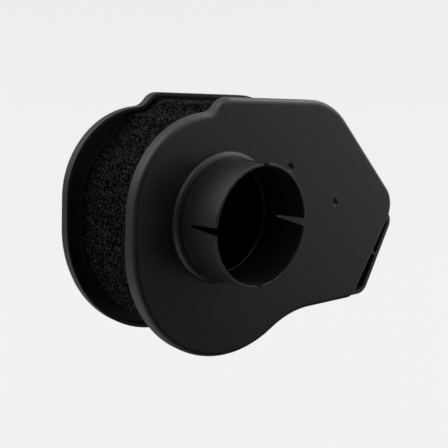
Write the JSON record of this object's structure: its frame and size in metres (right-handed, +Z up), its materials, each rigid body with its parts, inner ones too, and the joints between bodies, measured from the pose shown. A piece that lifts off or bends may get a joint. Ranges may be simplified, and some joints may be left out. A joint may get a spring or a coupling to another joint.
{
  "type": "air filter housing",
  "caption": "Moulded air filter housing with a split clamping collar, a foam element between two plates and a screwed rear cover.",
  "frame": {"origin": "centre of the collar's mouth, on the collar's axis", "axes": "+Z up, +X to the right along the plates seen from the collar side, +Y to the rear along the collar's axis"},
  "size_m": [0.1954, 0.0942, 0.1326],
  "materials": {
    "housing_plastic": "satin",
    "cover_plastic": "satin",
    "coarse_foam": "matte",
    "fine_foam": "matte",
    "cage_plastic": "matte",
    "gasket_rubber": "matte",
    "insert_brass": "satin",
    "screw_steel": "satin",
    "washer_steel": "satin"
  },
  "bodies": {
    "housing": {"front_plate": "housing_plastic", "collar": "housing_plastic", "tie_posts": "housing_plastic", "inlet_channel": "housing_plastic", "front_gasket": "gasket_rubber", "threaded_inserts": "insert_brass", "post_seals": "gasket_rubber"},
    "cover": {"rear_cover": "cover_plastic", "rear_gasket": "gasket_rubber", "screw_washers": "washer_steel"},
    "element": {"outer_foam": "coarse_foam", "inner_foam": "fine_foam", "support_cage": "cage_plastic"},
    "upper_screw": {"upper_screw": "screw_steel"},
    "lower_screw": {"lower_screw": "screw_steel"}
  },
  "joints": [
    {"name": "cover_removal", "type": "slide", "parent": "housing", "child": "cover", "axis": [0, 1, 0], "range_m": [0, 0.13]},
    {"name": "element_removal", "type": "slide", "parent": "housing", "child": "element", "axis": [0, 1, 0], "range_m": [0, 0.065]},
    {"name": "upper_screw_removal", "type": "slide", "parent": "cover", "child": "upper_screw", "axis": [0, 1, 0], "range_m": [0, 0.022]},
    {"name": "lower_screw_removal", "type": "slide", "parent": "cover", "child": "lower_screw", "axis": [0, 1, 0], "range_m": [0, 0.022]}
  ],
  "couplings": [
    {"joint": "element_removal", "follows": "cover_removal", "ratio": 0.5}
  ]
}
